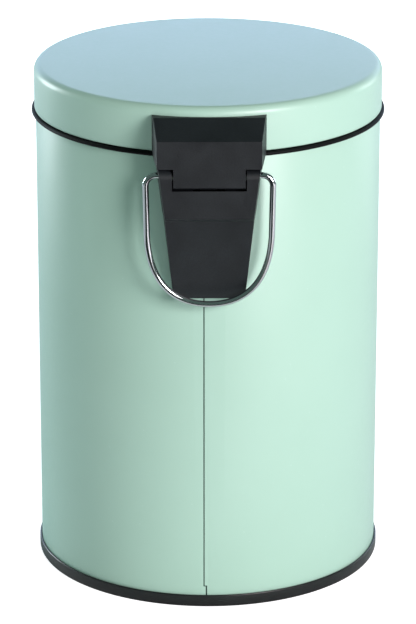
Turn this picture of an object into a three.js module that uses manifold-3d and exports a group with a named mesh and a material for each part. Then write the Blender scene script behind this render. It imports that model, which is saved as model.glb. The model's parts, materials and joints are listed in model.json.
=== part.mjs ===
// Pedal bin, 3 litre, 168 mm across and 252 mm high. Millimetres, +Z up, the floor is Z = 0,
// the pedal is at the front (-Y) and the lid hinge and the carry handle are at the back (+Y).
import * as THREE from 'three';
import * as BufferGeometryUtils from 'three/addons/utils/BufferGeometryUtils.js';
import { ConvexGeometry } from 'three/addons/geometries/ConvexGeometry.js';
import initManifold from 'manifold-3d';

const wasm = await initManifold();
wasm.setup();

// ---- Driving dimensions -------------------------------------------------------------------

const GAP = 0.3;                 // clearance between two pieces that touch or fit together
const SHEET = 0.8;               // steel sheet of the body and the lid
const ROUND = 72;                // segments round the bin

const BODY_R = 84;               // outside of the steel body
const BODY_TOP = 227.4;          // upper edge of the body, under the rim ring's bead
const SEAM_ANGLE = 1.7;          // degrees round the back from the hinge to the lock seam
const SEAM_WIDTH = 0.9;
const SEAM_DEPTH = 0.35;

const BASE_OUT = 1.1;            // the base moulding's lip stands out from the body this far
const BASE_LIP = 6.1;            // height of that lip
const BASE_GROOVE = 3;           // the body's lower edge stands this high, in the lip's groove
const BASE_WALL = 1.6;
const FLOOR_T = 2;

const BEAD_OUT = 2;              // the black bead stands out from the body this far
const BEAD_H = 1.9;
const RIM_WIDTH = 6.5;           // body's outside to the rim ring's opening
const RIM_SLEEVE = 10.6;            // how far the ring reaches down inside the body

const LID_OVER = 0.7;            // the lid's skirt stands out from the body this far
const LID_H = 22;                // from the skirt's lower edge to the lid's top
const LID_EDGE = 4;              // radius of the lid's rounded edge
const LID_LIFT = 0.4;            // gap between the skirt and the rim ring

const HINGE_STANDOFF = 10;      // hinge axis, distance from the body's outside
const EAR_BELOW = 2.1;           // top of the housing's ears below the body's upper edge
const HINGE_PIN_R = 1.5;
const KNUCKLE_R = 4.4;           // ears and tongue round the hinge pin
const SHOULDER_GAP = 0.85;       // between the ears and the leaf's shoulders
const LEAF_BELOW_LID = 4.4;      // leaf's top edge below the lid's top
const LEAF_SLOPE = 8.1;          // height of its sloping upper face
const LEAF_LEDGE = 1.2;          // width of the flat ledge at the leaf's top, at its middle
const LEAF_HALF_WALL = 27;       // half widths, at the wall and at the outer face
const LEAF_HALF_FACE = 24.4;
const TONGUE_HALF = 16.8;
const TONGUE_CHAMFER = 0.8;
const SWEEP_CLEARANCE = 1.2;    // free space round the tongue's corner when it turns

const HOUSING_TOP_HALF_WALL = 25.4;
const HOUSING_TOP_HALF_FACE = 23.6;
const HOUSING_STEP_DROP = 20.7;  // hinge axis to where the sloping lower part begins
const HOUSING_STEP_HALF_WALL = 22.2;
const HOUSING_STEP_HALF_FACE = 20.75;
const HOUSING_STEP_IN = 2.1;     // the lower part starts this far behind the outer face
const HOUSING_STEP_ROUND = 1.9;
const HOUSING_DROP = 61.4;       // hinge axis to the housing's foot
const HOUSING_FOOT_OUT = 3.2;    // foot's outer face from the body's outside
const HOUSING_FOOT_HALF_WALL = 17.6;
const HOUSING_FOOT_HALF_FACE = 16.8;

const HANDLE_WIRE_R = 1.5;
const HANDLE_BACK = 4;           // the handle's pivot line is this far in from the hinge axis
const HANDLE_LEAN = 2.2;         // degrees that the hanging loop leans out, over the housing's foot
const HANDLE_CLEAR = 1.25;       // between the leaf's sides and the handle's legs
const HANDLE_TAPER = 0.4;        // how far each leg leans in on its way down
const HANDLE_STRAIGHT = 25.7;    // length of the legs
const HANDLE_BELOW = 1.2;        // middle of the wire below the housing's foot
const HANDLE_FULLNESS = 0.646;   // 0.5523 would close the loop in a half ellipse
const HANDLE_BEND_R = 5;

const LID_ARM = 16;              // hinge axis to the lid lever's nose
const LID_ARM_HALF = 4;          // half width of that lever
const NOSE_R = 1.6;
const LID_TURN = 78;             // degrees that the lid opens
const ROD_PLAY = 0.6;            // free play between nose and rod, an opened joint

const ROD_R = 2;
const ROD_INSIDE = 4.8;          // rod's centre from the body's outside
const ROD_CAP_R = 3;
const ROD_CAP_H = 7;
const ROD_CAP_TOP = 3;           // plastic above the rod's end
const ROD_CAP_DOME = 1.5;        // bevel that lets the lid lever roll over the cap
const WINDOW_HALF = 7.5;         // opening in wall and ring for the lid lever and the rod
const WINDOW_CLEARANCE = 4.7;    // below the lid lever's lowest point

const GUIDE_BELOW_CAP = 1.1;     // the closed rod's cap ends this far above the guide
const GUIDE_H = 34;
const GUIDE_HALF = 15;
const GUIDE_T = 2;
const GUIDE_BLOCK_HALF = 5;
const GUIDE_BLOCK_H = 12;
const GUIDE_BLOCK_WALL = 0.9;    // plastic on the rod's inner side
const SCREW_R = 1.5;
const SCREW_HEAD_R = 2.6;
const SCREW_HEAD_H = 1.4;
const SCREW_BITE = 4;            // how far a screw reaches into the plastic
const HOUSING_SCREW_X = 10;
const HOUSING_SCREW_RISE = 10;   // above and below the guide's middle
const LID_SCREW_X = 13;
const LID_SCREW_UP = 10;         // above the skirt's lower edge

const PEDAL_PIVOT_IN = 52;       // pivot behind the body's front
const PEDAL_OUT = 36;            // pad's front edge in front of the body
const TAIL_ABOVE_GROUND = 5.9;   // lever's tail above the ground when the lid is closed
const TAIL_BELOW_FLOOR = 1.5;    // and below the bin's floor when it is open
const PEDAL_PIN_R = 2;
const PEDAL_T = 2.5;             // steel strap of the pedal lever
const PEDAL_HALF = 10;           // half width at the front
const PEDAL_TAIL_HALF = 5;       // half width at the back
const PEDAL_BOSS_R = 4.5;
const PEDAL_BOSS_HALF = 12;
const PAD_DEPTH = 28;
const PAD_HALF = 23;
const PAD_T = 9;
const PAD_CORNER = 6;
const PAD_RIB_PITCH = 4.5;
const PEDAL_SLOT_CLEAR = 2.9;    // free space over and under the strap in the slot
const LUG_T = 3;
const LUG_HALF = 6;
const CLIP_R = 5;
const CLIP_T = 1.2;

const BUCKET_CLEAR = 2.3;        // between the bucket's rim and the rim ring
const BUCKET_RIM_WIDTH = 2.7;
const BUCKET_TAPER = 6.5;
const BUCKET_BELOW = 5.4;        // bucket's rim below the body's upper edge
const BUCKET_T = 1.5;
const BAIL_WIRE_R = 1.4;
const BAIL_BELOW_RIM = 3.2;
const GRIP_R = 3.8;
const GRIP_ANGLE = 14;           // degrees of the bail's curve that the grip covers, each side

// ---- Sizes worked out from them --------------------------------------------------------------

const BODY_INNER_R = BODY_R - SHEET;
const BODY_FOOT = BASE_GROOVE + GAP;
const BASE_R = BODY_R + BASE_OUT;
const BEAD_R = BODY_R + BEAD_OUT;
const BEAD_Z = BODY_TOP + GAP;
const BEAD_TOP = BEAD_Z + BEAD_H;
const RIM_INNER_R = BODY_R - RIM_WIDTH;
const LID_R = BODY_R + LID_OVER;
const SKIRT_Z = BEAD_TOP + LID_LIFT;
const LID_TOP = SKIRT_Z + LID_H;
const HINGE_OUT = BODY_R + HINGE_STANDOFF;
const HINGE_Z = BODY_TOP - EAR_BELOW - KNUCKLE_R;
const FACE_OUT = HINGE_OUT + KNUCKLE_R;
const LEAF_DROP = KNUCKLE_R + SHOULDER_GAP;
const WALL_SIDE = Math.sqrt(BODY_R ** 2 - LEAF_HALF_WALL ** 2) - 0.5;
const LEAF_TOP = LID_TOP - LEAF_BELOW_LID;
const HOUSING_STEP_Z = HINGE_Z - HOUSING_STEP_DROP;
const HOUSING_FOOT_Z = HINGE_Z - HOUSING_DROP;
const HANDLE_HALF = LEAF_HALF_WALL + HANDLE_CLEAR + HANDLE_WIRE_R;
const HANDLE_HALF_LOW = HANDLE_HALF - HANDLE_TAPER;
const HANDLE_DROP = HOUSING_DROP + HANDLE_BELOW;
const HANDLE_OUT = HINGE_OUT - HANDLE_BACK;
const EAR_TOP = HINGE_Z + KNUCKLE_R;
const BORE_R = HINGE_PIN_R + GAP;
const SCREW_HOLE_R = SCREW_R + GAP;
const EAR_MIDDLE_HALF = HOUSING_TOP_HALF_FACE + 0.3;
const HALF_TURN = THREE.MathUtils.degToRad(LID_TURN / 2);
const ROD_TRAVEL = 2 * LID_ARM * Math.sin(HALF_TURN);
const ROD_TOP = HINGE_Z - ROD_TRAVEL / 2 - NOSE_R - ROD_PLAY;
const WINDOW_FLOOR = HINGE_Z - ROD_TRAVEL / 2 - NOSE_R - WINDOW_CLEARANCE;
const ROD_OUT = BODY_R - ROD_INSIDE;
const PEDAL_PIVOT_Y = PEDAL_PIVOT_IN - BODY_R;
const PEDAL_PIVOT_Z = TAIL_ABOVE_GROUND + (PEDAL_T + ROD_TRAVEL) / 2;
const PEDAL_REACH = PEDAL_PIVOT_IN + PEDAL_OUT;
const PEDAL_ARM = ROD_OUT - PEDAL_PIVOT_Y;
const PEDAL_TILT = Math.asin(ROD_TRAVEL / 2 / PEDAL_ARM);
const PEDAL_SLOT_REACH = PEDAL_PIVOT_IN * Math.sin(PEDAL_TILT) + PEDAL_T / 2 + PEDAL_SLOT_CLEAR;
const ROD_FOOT = PEDAL_PIVOT_Z - ROD_TRAVEL / 2 + PEDAL_T / 2 + ROD_PLAY;
const GUIDE_OUT_R = BODY_INNER_R - GAP;
const GUIDE_IN_R = GUIDE_OUT_R - GUIDE_T;
const GUIDE_Z = ROD_TOP - ROD_CAP_H - GUIDE_BELOW_CAP - GUIDE_H / 2;
const GUIDE_BLOCK_IN = ROD_OUT - ROD_R - GAP - GUIDE_BLOCK_WALL;
const LID_SCREW_Z = SKIRT_Z + LID_SCREW_UP;
const FLOOR_Z = PEDAL_PIVOT_Z + (PEDAL_T + ROD_TRAVEL) / 2 + TAIL_BELOW_FLOOR;
const FLOOR_TOP = FLOOR_Z + FLOOR_T;
const BASE_SLEEVE_R = BODY_INNER_R - GAP;
const PEDAL_SLOT_HALF = PEDAL_HALF + 3;
const BUCKET_RIM_R = RIM_INNER_R - BUCKET_CLEAR;
const BUCKET_TOP_R = BUCKET_RIM_R - BUCKET_RIM_WIDTH;
const BUCKET_FOOT_R = BUCKET_TOP_R - BUCKET_TAPER;
const BUCKET_TOP = BODY_TOP - BUCKET_BELOW;
const BUCKET_FOOT = FLOOR_TOP + GAP;
const BAIL_Z = BUCKET_TOP - BAIL_BELOW_RIM;
const BAIL_HALF = BUCKET_TOP_R - BUCKET_T - BAIL_WIRE_R - 4 * GAP;
const BAIL_DEPTH = BAIL_HALF - GRIP_R + BAIL_WIRE_R - 2;

// ---- Materials -----------------------------------------------------------------------------------

const finish = (name, color, roughness, metalness) =>
  new THREE.MeshStandardMaterial({ name, color, roughness, metalness });

const MINT = () => finish('mint powder coat', '#a9dcc6', 0.42, 0.1);
const BLACK = () => finish('black moulding', '#25292e', 0.55, 0);
const GREY = () => finish('grey bucket', '#3a3d40', 0.6, 0);
const CHROME = () => finish('chromed wire', '#d8dadc', 0.12, 1);
const STEEL = () => finish('zinc plated steel', '#a8abad', 0.35, 1);

// ---- Solid modelling helpers -------------------------------------------------------------------

function solidOf(geometry) {
  const bare = geometry.clone();
  bare.deleteAttribute('normal');
  bare.deleteAttribute('uv');
  const merged = BufferGeometryUtils.mergeVertices(bare, 1e-4);
  const vertProperties = new Float32Array(merged.attributes.position.array);
  const triVerts = new Uint32Array(merged.index.array);
  return new wasm.Manifold(new wasm.Mesh({ numProp: 3, vertProperties, triVerts }));
}

function geometryOf(solid) {
  const { vertProperties, triVerts } = solid.getMesh();
  const geometry = new THREE.BufferGeometry();
  geometry.setAttribute('position', new THREE.BufferAttribute(vertProperties, 3));
  geometry.setIndex(new THREE.BufferAttribute(triVerts, 1));
  geometry.computeVertexNormals();
  return geometry;
}

const box = (x0, x1, y0, y1, z0, z1) => {
  const geometry = new THREE.BoxGeometry(x1 - x0, y1 - y0, z1 - z0);
  return solidOf(geometry.translate((x0 + x1) / 2, (y0 + y1) / 2, (z0 + z1) / 2));
};

// Solid turned about the Z axis from [radius, height] points.
const turnedGeometry = (points, segments = ROUND) => {
  const outline = points.map(([r, z]) => new THREE.Vector2(r, z));
  return new THREE.LatheGeometry(outline, segments).rotateX(Math.PI / 2);
};
const turned = (points, segments) => solidOf(turnedGeometry(points, segments));

// Upright disc or post on the Z axis.
const post = (radius, z0, z1, segments = ROUND) =>
  turned([[0, z0], [radius, z0], [radius, z1], [0, z1]], segments);

// Round bar along X, centred on x = 0.
const barX = (radius, half, y, z, segments = 32) => {
  const geometry = new THREE.CylinderGeometry(radius, radius, 2 * half, segments);
  return solidOf(geometry.rotateZ(Math.PI / 2).translate(0, y, z));
};

// Round bar along Y from y0 to y1.
const barY = (radius, x, y0, y1, z, segments = 24) => {
  const geometry = new THREE.CylinderGeometry(radius, radius, y1 - y0, segments);
  return solidOf(geometry.translate(x, (y0 + y1) / 2, z));
};

// Block whose side outline [distance out, height, half width] is mirrored in x.
const mirroredBlock = (corners) => {
  const points = corners.flatMap(([y, z, half]) => [
    new THREE.Vector3(-half, y, z),
    new THREE.Vector3(half, y, z),
  ]);
  return solidOf(new ConvexGeometry(points));
};

// Outline in the Y-Z plane, pushed out along X to both sides.
const slabX = (shape, half) => {
  const geometry = new THREE.ExtrudeGeometry(shape, {
    depth: 2 * half,
    bevelEnabled: false,
    curveSegments: 12,
  });
  const basis = new THREE.Matrix4().makeBasis(
    new THREE.Vector3(0, 1, 0),
    new THREE.Vector3(0, 0, 1),
    new THREE.Vector3(1, 0, 0),
  );
  return solidOf(geometry.applyMatrix4(basis).translate(-half, 0, 0));
};

// Round wire along a curve.
const wire = (curve, radius, steps, sides = 10) => {
  const section = new THREE.Shape();
  for (let i = 0; i < sides; i += 1) {
    const angle = (2 * Math.PI * i) / sides;
    const point = [radius * Math.cos(angle), radius * Math.sin(angle)];
    if (i === 0) section.moveTo(...point);
    else section.lineTo(...point);
  }
  section.closePath();
  return new THREE.ExtrudeGeometry(section, {
    steps,
    bevelEnabled: false,
    extrudePath: curve,
  });
};

const piece = (name, shape, material) => {
  const geometry = shape instanceof THREE.BufferGeometry ? shape : geometryOf(shape);
  const mesh = new THREE.Mesh(geometry, material);
  mesh.name = name;
  return mesh;
};

// Half width of a drafted block at distance y out, between its wall and its outer face.
const drafted = (halfWall, halfFace, y) =>
  THREE.MathUtils.mapLinear(y, WALL_SIDE, FACE_OUT, halfWall, halfFace);

// ---- Body, base and rim ring ----------------------------------------------------------------------

// Opening in the front of the body and the base for the pedal lever.
const pedalSlot = () =>
  box(-PEDAL_SLOT_HALF, PEDAL_SLOT_HALF, -BASE_R - 5, -BASE_SLEEVE_R + 8,
    PEDAL_PIVOT_Z - PEDAL_SLOT_REACH, PEDAL_PIVOT_Z + PEDAL_SLOT_REACH);

// Screw holes of the hinge housing, through the guide, the wall and into the housing.
const housingScrewPlaces = () =>
  [-1, 1].flatMap((side) =>
    [-1, 1].map((up) => [side * HOUSING_SCREW_X, GUIDE_Z + up * HOUSING_SCREW_RISE]));

const housingScrewSeat = () =>
  Math.sqrt(GUIDE_IN_R ** 2 - (HOUSING_SCREW_X + SCREW_HEAD_R) ** 2) - GAP;

const housingScrewTip = () =>
  Math.sqrt(BODY_R ** 2 - HOUSING_SCREW_X ** 2) + SCREW_BITE;

const housingScrewHoles = () =>
  wasm.Manifold.union(housingScrewPlaces().map(([x, z]) =>
    barY(SCREW_HOLE_R, x, GUIDE_IN_R - 10, housingScrewTip() + GAP, z)));

function bodyShell() {
  const tube = turned([
    [BODY_INNER_R, BODY_FOOT],
    [BODY_R, BODY_FOOT],
    [BODY_R, BODY_TOP],
    [BODY_INNER_R, BODY_TOP],
    [BODY_INNER_R, BODY_FOOT],
  ]);
  const seam = box(-SEAM_WIDTH / 2, SEAM_WIDTH / 2, BODY_R - SEAM_DEPTH, BODY_R + 1, 0, BODY_TOP + 1);
  const window = box(-WINDOW_HALF, WINDOW_HALF, 0, BODY_R + 1, WINDOW_FLOOR, BODY_TOP + 1);
  return tube
    .subtract(seam.rotate([0, 0, -SEAM_ANGLE]))
    .subtract(window)
    .subtract(pedalSlot())
    .subtract(housingScrewHoles());
}

function baseMoulding() {
  const inner = BASE_SLEEVE_R - BASE_WALL;
  const lipInner = BODY_R + GAP;
  const moulding = turned([
    [0, FLOOR_Z],
    [inner, FLOOR_Z],
    [inner, 0],
    [BASE_R - 0.8, 0],
    [BASE_R, 0.8],
    [BASE_R, BASE_LIP - 0.5],
    [BASE_R - 0.4, BASE_LIP],
    [lipInner, BASE_LIP],
    [lipInner, BASE_GROOVE],
    [BASE_SLEEVE_R, BASE_GROOVE],
    [BASE_SLEEVE_R, FLOOR_TOP],
    [0, FLOOR_TOP],
  ]);
  const slotHalf = PEDAL_TAIL_HALF + 2;
  const rodSlot = box(-slotHalf, slotHalf, ROD_OUT - 5, BODY_INNER_R, 4, FLOOR_TOP + 1);
  const lugs = [-1, 1].map((side) => {
    const x = side * (PEDAL_BOSS_HALF + GAP + LUG_T / 2);
    const y = PEDAL_PIVOT_Y;
    const bottom = PEDAL_PIVOT_Z - LUG_HALF;
    return box(x - LUG_T / 2, x + LUG_T / 2, y - LUG_HALF, y + LUG_HALF, bottom, FLOOR_Z + 0.5);
  });
  const bore = barX(PEDAL_PIN_R + GAP, 30, PEDAL_PIVOT_Y, PEDAL_PIVOT_Z, 24);
  return moulding
    .subtract(rodSlot)
    .subtract(pedalSlot())
    .add(wasm.Manifold.union(lugs))
    .subtract(bore);
}

function rimRing() {
  const sleeveOut = BODY_INNER_R - GAP;
  const beadMiddle = BEAD_Z + BEAD_H / 2;
  const bead = [];
  for (let i = 0; i <= 6; i += 1) {
    const angle = -Math.PI / 2 + (Math.PI * i) / 6;
    const r = BEAD_R - BEAD_H / 2 + (BEAD_H / 2) * Math.cos(angle);
    bead.push([r, beadMiddle + (BEAD_H / 2) * Math.sin(angle)]);
  }
  const ring = turned([
    [RIM_INNER_R, BEAD_TOP - 2],
    [sleeveOut - 1.5, BEAD_TOP - 2],
    [sleeveOut - 1.5, BEAD_Z - RIM_SLEEVE],
    [sleeveOut, BEAD_Z - RIM_SLEEVE],
    [sleeveOut, BEAD_Z],
    ...bead,
    [RIM_INNER_R, BEAD_TOP],
    [RIM_INNER_R, BEAD_TOP - 2],
  ]);
  const notch = box(-WINDOW_HALF, WINDOW_HALF, 0, BEAD_R + 5, BEAD_Z - RIM_SLEEVE - 1, BEAD_TOP + 1);
  return ring.subtract(notch);
}

// ---- Lid and its hinge -----------------------------------------------------------------------------

function lidShell() {
  const inner = LID_R - SHEET;
  const corner = (radius, fillet, top, from, to) => {
    const points = [];
    for (let i = 0; i <= 6; i += 1) {
      const angle = from + ((to - from) * i) / 6;
      points.push([
        radius - fillet + fillet * Math.cos(angle),
        top - fillet + fillet * Math.sin(angle),
      ]);
    }
    return points;
  };
  const shell = turned([
    [0, LID_TOP],
    ...corner(LID_R, LID_EDGE, LID_TOP, Math.PI / 2, 0),
    [LID_R, SKIRT_Z],
    [inner, SKIRT_Z],
    ...corner(inner, LID_EDGE - SHEET, LID_TOP - SHEET, 0, Math.PI / 2),
    [0, LID_TOP - SHEET],
  ].reverse());
  const holes = [-1, 1].map((side) =>
    barY(SCREW_HOLE_R, side * LID_SCREW_X, LID_R - 10, LID_R + 5, LID_SCREW_Z));
  return shell.subtract(wasm.Manifold.union(holes));
}

// Lever on the lid leaf, from the hinge axis inwards to the nose above the push rod.
function lidLever() {
  const arm = box(-LID_ARM_HALF, LID_ARM_HALF, -LID_ARM, 0, -NOSE_R, NOSE_R);
  const nose = barX(NOSE_R, LID_ARM_HALF, -LID_ARM, 0, 24);
  return arm.add(nose).rotate([LID_TURN / 2, 0, 0]).translate([0, HINGE_OUT, HINGE_Z]);
}

function hingeTongue() {
  const outline = new THREE.Shape();
  const bottom = HINGE_Z - KNUCKLE_R;
  outline.moveTo(FACE_OUT, HINGE_Z + LEAF_DROP + 4);
  outline.lineTo(HINGE_OUT - KNUCKLE_R, HINGE_Z + LEAF_DROP + 4);
  outline.lineTo(HINGE_OUT - KNUCKLE_R, HINGE_Z);
  outline.absarc(HINGE_OUT, HINGE_Z, KNUCKLE_R, Math.PI, 1.5 * Math.PI, false);
  outline.lineTo(FACE_OUT - TONGUE_CHAMFER, bottom);
  outline.lineTo(FACE_OUT, bottom + TONGUE_CHAMFER);
  outline.closePath();
  return slabX(outline, TONGUE_HALF);
}

function lidLeaf() {
  const wallSide = WALL_SIDE;
  const shoulder = HINGE_Z + LEAF_DROP;
  const wallUnderside = BEAD_TOP;
  const half = (y) => drafted(LEAF_HALF_WALL, LEAF_HALF_FACE, y);
  const ledge = LID_R + GAP + LEAF_LEDGE;
  const block = mirroredBlock([
    [wallSide, LEAF_TOP, half(wallSide)],
    [ledge, LEAF_TOP, half(ledge)],
    [FACE_OUT, LEAF_TOP - LEAF_SLOPE, half(FACE_OUT)],
    [FACE_OUT, shoulder, half(FACE_OUT)],
    [wallSide, wallUnderside, half(wallSide)],
  ]);
  const holes = [-1, 1].map((side) =>
    barY(SCREW_HOLE_R, side * LID_SCREW_X, LID_R - 10, lidScrewTip() + GAP, LID_SCREW_Z));
  return block
    .add(hingeTongue())
    .subtract(post(LID_R + GAP, 0, LID_TOP + 1))
    .subtract(post(BEAD_R + GAP, 0, BEAD_TOP + GAP))
    .add(lidLever())
    .subtract(barX(BORE_R, 40, HINGE_OUT, HINGE_Z))
    .subtract(wasm.Manifold.union(holes));
}

const lidScrewSeat = () =>
  Math.sqrt((LID_R - SHEET) ** 2 - (LID_SCREW_X + SCREW_HEAD_R) ** 2) - GAP;

const lidScrewTip = () =>
  Math.sqrt(LID_R ** 2 - LID_SCREW_X ** 2) + SCREW_BITE;

// Pan-head screw pointing along +Y, its head's seat at y = 0.
function screw(length) {
  return turnedGeometry([
    [0, -SCREW_HEAD_H],
    [SCREW_HEAD_R * 0.75, -SCREW_HEAD_H],
    [SCREW_HEAD_R, -SCREW_HEAD_H / 2],
    [SCREW_HEAD_R, 0],
    [SCREW_R, 0],
    [SCREW_R, length - SCREW_R],
    [0, length],
  ], 16).rotateX(-Math.PI / 2);
}

function hingeHousing() {
  const wallSide = WALL_SIDE;
  const stepOut = FACE_OUT - HOUSING_STEP_IN;
  const overlap = 2;
  const upper = mirroredBlock([
    [wallSide, EAR_TOP, HOUSING_TOP_HALF_WALL],
    [FACE_OUT, EAR_TOP, HOUSING_TOP_HALF_FACE],
    [FACE_OUT, HOUSING_STEP_Z + HOUSING_STEP_ROUND, HOUSING_STEP_HALF_FACE],
    [stepOut, HOUSING_STEP_Z, HOUSING_STEP_HALF_FACE],
    [wallSide, HOUSING_STEP_Z, HOUSING_STEP_HALF_WALL],
  ]);
  const lower = mirroredBlock([
    [wallSide, HOUSING_STEP_Z + overlap, HOUSING_STEP_HALF_WALL],
    [stepOut, HOUSING_STEP_Z + overlap, HOUSING_STEP_HALF_FACE],
    [stepOut, HOUSING_STEP_Z, HOUSING_STEP_HALF_FACE],
    [wallSide - 3, HOUSING_STEP_Z, HOUSING_STEP_HALF_WALL],
    [BODY_R + HOUSING_FOOT_OUT, HOUSING_FOOT_Z, HOUSING_FOOT_HALF_FACE],
    [wallSide - 3, HOUSING_FOOT_Z, HOUSING_FOOT_HALF_WALL],
  ]);
  const knuckle = barX(KNUCKLE_R, 40, HINGE_OUT, HINGE_Z, 48);
  const topCorner = box(-40, 40, HINGE_OUT, FACE_OUT + 5, HINGE_Z, EAR_TOP + 5).subtract(knuckle);
  const notchHalf = TONGUE_HALF + GAP * 2;
  const corner = Math.hypot(KNUCKLE_R, KNUCKLE_R - TONGUE_CHAMFER) + SWEEP_CLEARANCE;
  const sweep = barX(corner, notchHalf, HINGE_OUT, HINGE_Z, 48);
  const above = box(-notchHalf, notchHalf, 0, FACE_OUT + 5, HINGE_Z, EAR_TOP + 5);
  const leverSlot = box(-WINDOW_HALF, WINDOW_HALF, 0, HINGE_OUT, WINDOW_FLOOR, EAR_TOP + 5);
  return upper
    .add(lower)
    .subtract(topCorner)
    .subtract(sweep)
    .subtract(above)
    .subtract(leverSlot)
    .subtract(post(BODY_R + GAP, 0, LID_TOP))
    .subtract(barX(BORE_R, hingePinHalf() + GAP, HINGE_OUT, HINGE_Z))
    .subtract(handleSocket(-1))
    .subtract(handleSocket(1))
    .subtract(housingScrewHoles());
}

const hingePinHalf = () => EAR_MIDDLE_HALF - 2.6;

const hingePin = () => barX(HINGE_PIN_R, hingePinHalf(), HINGE_OUT, HINGE_Z, 24);

const handleEnd = () => EAR_MIDDLE_HALF - 2;

// Bore in the side of the housing for one end of the carry handle.
const handleSocket = (side) => {
  const depth = 10;
  const middle = side * (handleEnd() - GAP + depth);
  return barX(HANDLE_WIRE_R + GAP, depth, HANDLE_OUT, HINGE_Z).translate([middle, 0, 0]);
};

// Wire loop in the X-Z plane, its pivot line through the origin.
function carryHandle() {
  const path = new THREE.CurvePath();
  const v = (x, z) => new THREE.Vector3(x, 0, z);
  const end = handleEnd();
  const ease = HANDLE_BEND_R * 0.45;
  const bend = (s) => new THREE.CubicBezierCurve3(
    v(s * (HANDLE_HALF - HANDLE_BEND_R), 0),
    v(s * (HANDLE_HALF - ease), 0),
    v(s * HANDLE_HALF, -ease),
    v(s * HANDLE_HALF, -HANDLE_BEND_R),
  );
  const reverse = (c) => new THREE.CubicBezierCurve3(c.v3, c.v2, c.v1, c.v0);
  const low = -HANDLE_STRAIGHT;
  const round = HANDLE_DROP - HANDLE_STRAIGHT;
  const quarter = (s) => new THREE.CubicBezierCurve3(
    v(s * HANDLE_HALF_LOW, low),
    v(s * HANDLE_HALF_LOW, low - HANDLE_FULLNESS * round),
    v(s * HANDLE_FULLNESS * HANDLE_HALF_LOW, -HANDLE_DROP),
    v(0, -HANDLE_DROP),
  );
  path.add(new THREE.LineCurve3(v(-end, 0), v(-(HANDLE_HALF - HANDLE_BEND_R), 0)));
  path.add(bend(-1));
  path.add(new THREE.LineCurve3(v(-HANDLE_HALF, -HANDLE_BEND_R), v(-HANDLE_HALF_LOW, low)));
  path.add(quarter(-1));
  path.add(reverse(quarter(1)));
  path.add(new THREE.LineCurve3(v(HANDLE_HALF_LOW, low), v(HANDLE_HALF, -HANDLE_BEND_R)));
  path.add(reverse(bend(1)));
  path.add(new THREE.LineCurve3(v(HANDLE_HALF - HANDLE_BEND_R, 0), v(end, 0)));
  return wire(path, HANDLE_WIRE_R, 72, 8);
}

// ---- Push rod and its guide ----------------------------------------------------------------------

const pushRod = () => post(ROD_R, ROD_FOOT, ROD_TOP - ROD_CAP_TOP, 20);

function rodCap() {
  const bore = ROD_R + GAP;
  const ceiling = ROD_TOP - ROD_CAP_TOP + GAP;
  return turnedGeometry([
    [0, ceiling],
    [bore, ceiling],
    [bore, ROD_TOP - ROD_CAP_H],
    [ROD_CAP_R, ROD_TOP - ROD_CAP_H],
    [ROD_CAP_R, ROD_TOP - ROD_CAP_DOME],
    [ROD_CAP_R - ROD_CAP_DOME, ROD_TOP],
    [0, ROD_TOP],
  ], 24);
}

function rodGuide() {
  const z0 = GUIDE_Z - GUIDE_H / 2;
  const z1 = GUIDE_Z + GUIDE_H / 2;
  const sector = box(-GUIDE_HALF, GUIDE_HALF, 0, BODY_R, z0, z1);
  const plate = post(GUIDE_OUT_R, z0, z1).subtract(post(GUIDE_IN_R, z0 - 1, z1 + 1)).intersect(sector);
  const half = GUIDE_BLOCK_H / 2;
  const block = box(-GUIDE_BLOCK_HALF, GUIDE_BLOCK_HALF, GUIDE_BLOCK_IN, GUIDE_IN_R + 1,
    GUIDE_Z - half, GUIDE_Z + half);
  const bore = post(ROD_R + GAP, z0 - 1, z1 + 1, 24).translate([0, ROD_OUT, 0]);
  return plate.add(block).subtract(bore).subtract(housingScrewHoles());
}

// ---- Pedal: built about its pivot, straps along Y ----------------------------------------------

function pedalLever() {
  const outline = new THREE.Shape();
  const front = -PEDAL_REACH + 4;
  const waist = PEDAL_ARM * 0.35;
  const tail = PEDAL_ARM + 2.6;
  outline.moveTo(-PEDAL_HALF, front);
  outline.lineTo(PEDAL_HALF, front);
  outline.lineTo(PEDAL_HALF, 12);
  outline.lineTo(PEDAL_TAIL_HALF, waist);
  outline.lineTo(PEDAL_TAIL_HALF, tail);
  outline.lineTo(-PEDAL_TAIL_HALF, tail);
  outline.lineTo(-PEDAL_TAIL_HALF, waist);
  outline.lineTo(-PEDAL_HALF, 12);
  outline.closePath();
  const flat = new THREE.ExtrudeGeometry(outline, { depth: PEDAL_T, bevelEnabled: false });
  const strap = solidOf(flat.translate(0, 0, -PEDAL_T / 2));
  const boss = barX(PEDAL_BOSS_R, PEDAL_BOSS_HALF, 0, 0);
  return strap.add(boss).subtract(barX(PEDAL_PIN_R + GAP, 30, 0, 0, 24));
}

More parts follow.
